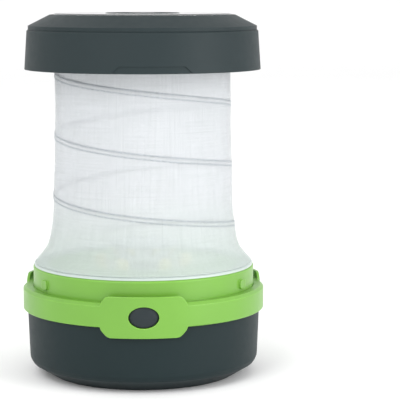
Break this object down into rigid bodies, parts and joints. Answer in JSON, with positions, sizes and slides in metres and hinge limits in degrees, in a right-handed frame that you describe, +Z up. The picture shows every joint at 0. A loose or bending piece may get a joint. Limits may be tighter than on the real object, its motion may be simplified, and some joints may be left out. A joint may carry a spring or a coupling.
{
  "type": "collapsible camping lantern",
  "caption": "Pop-up camping lantern: round battery base with power button, coil-sprung fabric shade and a cap with a clear torch lens that pushes down to close.",
  "frame": {"origin": "centre of the foot, on the surface that the lantern stands on", "axes": "+Z up through the cap; -Y is the front, with the power button; +X is the lantern's right seen from the front"},
  "size_m": [0.0872, 0.0872, 0.13],
  "materials": {
    "base_grey": "fine matt moulded texture",
    "cap_grey": "fine matt moulded texture",
    "lime_green": "satin moulded plastic",
    "button_grey": "soft matt rubberised cap",
    "shade_cloth": "fine translucent woven nylon",
    "coil_wire": "drawn spring wire in a white sleeve",
    "clamp_white": "satin white plastic",
    "clear_lens": "clear moulded plastic",
    "seal_black": "matt black rubber",
    "cell_sleeve": "printed sleeve without marks",
    "steel": "zinc plated",
    "contact_plate": "nickel plated spring strip",
    "cradle_black": "black moulded plastic",
    "board_green": "solder mask",
    "component_dark": "moulded packages",
    "wire_red": "insulated lead",
    "wire_black": "insulated lead",
    "board_white": "white solder mask",
    "led_epoxy": "clear epoxy over yellow phosphor",
    "mirror_chrome": "vacuum metallised",
    "plunger_cream": "natural nylon"
  },
  "bodies": {
    "base": {"base_shell": "base_grey", "battery_cradle": "cradle_black", "battery_cells": "cell_sleeve", "battery_springs": "steel", "battery_contacts": "contact_plate", "cradle_screws": "steel", "driver_board": "board_green", "board_components": "component_dark", "tact_switch": "component_dark", "board_screws": "steel", "lead_red": "wire_red", "lead_black": "wire_black", "led_board": "board_white", "lantern_leds": "led_epoxy", "torch_led": "led_epoxy", "torch_reflector": "mirror_chrome", "torch_window": "clear_lens", "collar": "lime_green", "collar_screws": "steel", "trim_ring": "lime_green", "shade_clamp_lower": "clamp_white"},
    "button": {"power_button": "button_grey", "switch_plunger": "plunger_cream"},
    "seal": {"door_seal": "seal_black"},
    "door": {"battery_door": "base_grey"},
    "shade": {"shade_fabric": "shade_cloth", "shade_coil": "coil_wire"},
    "cap": {"shade_clamp_upper": "clamp_white", "cap_shell": "cap_grey", "cap_screws": "steel", "lens_gasket": "seal_black", "top_lens": "clear_lens", "cap_bezel": "cap_grey", "torch_ring": "cap_grey"}
  },
  "joints": [
    {"name": "cap_twist", "type": "hinge", "parent": "base", "child": "shade", "pos_m": [0, 0, 0], "axis": [0, 0, 1], "range_deg": [-4.4, 4.4]},
    {"name": "cap_slide", "type": "slide", "parent": "shade", "child": "cap", "axis": [0, 0, 1], "range_m": [-0.0775, 0], "stiffness_N_per_m": 30, "springref_m": 0.04, "deforming": ["shade_fabric", "shade_coil"]},
    {"name": "button_press", "type": "slide", "parent": "base", "child": "button", "axis": [0, 1, 0], "range_m": [0, 0.0008], "stiffness_N_per_m": 800},
    {"name": "door_drop", "type": "slide", "parent": "base", "child": "seal", "axis": [0, 0, -1], "range_m": [0, 0.0031]},
    {"name": "door_turn", "type": "hinge", "parent": "seal", "child": "door", "pos_m": [0, 0, 0], "axis": [0, 0, -1], "range_deg": [0, 540]}
  ],
  "couplings": [
    {"joint": "door_drop", "follows": "door_turn", "m_per_rad": 0.000318}
  ]
}
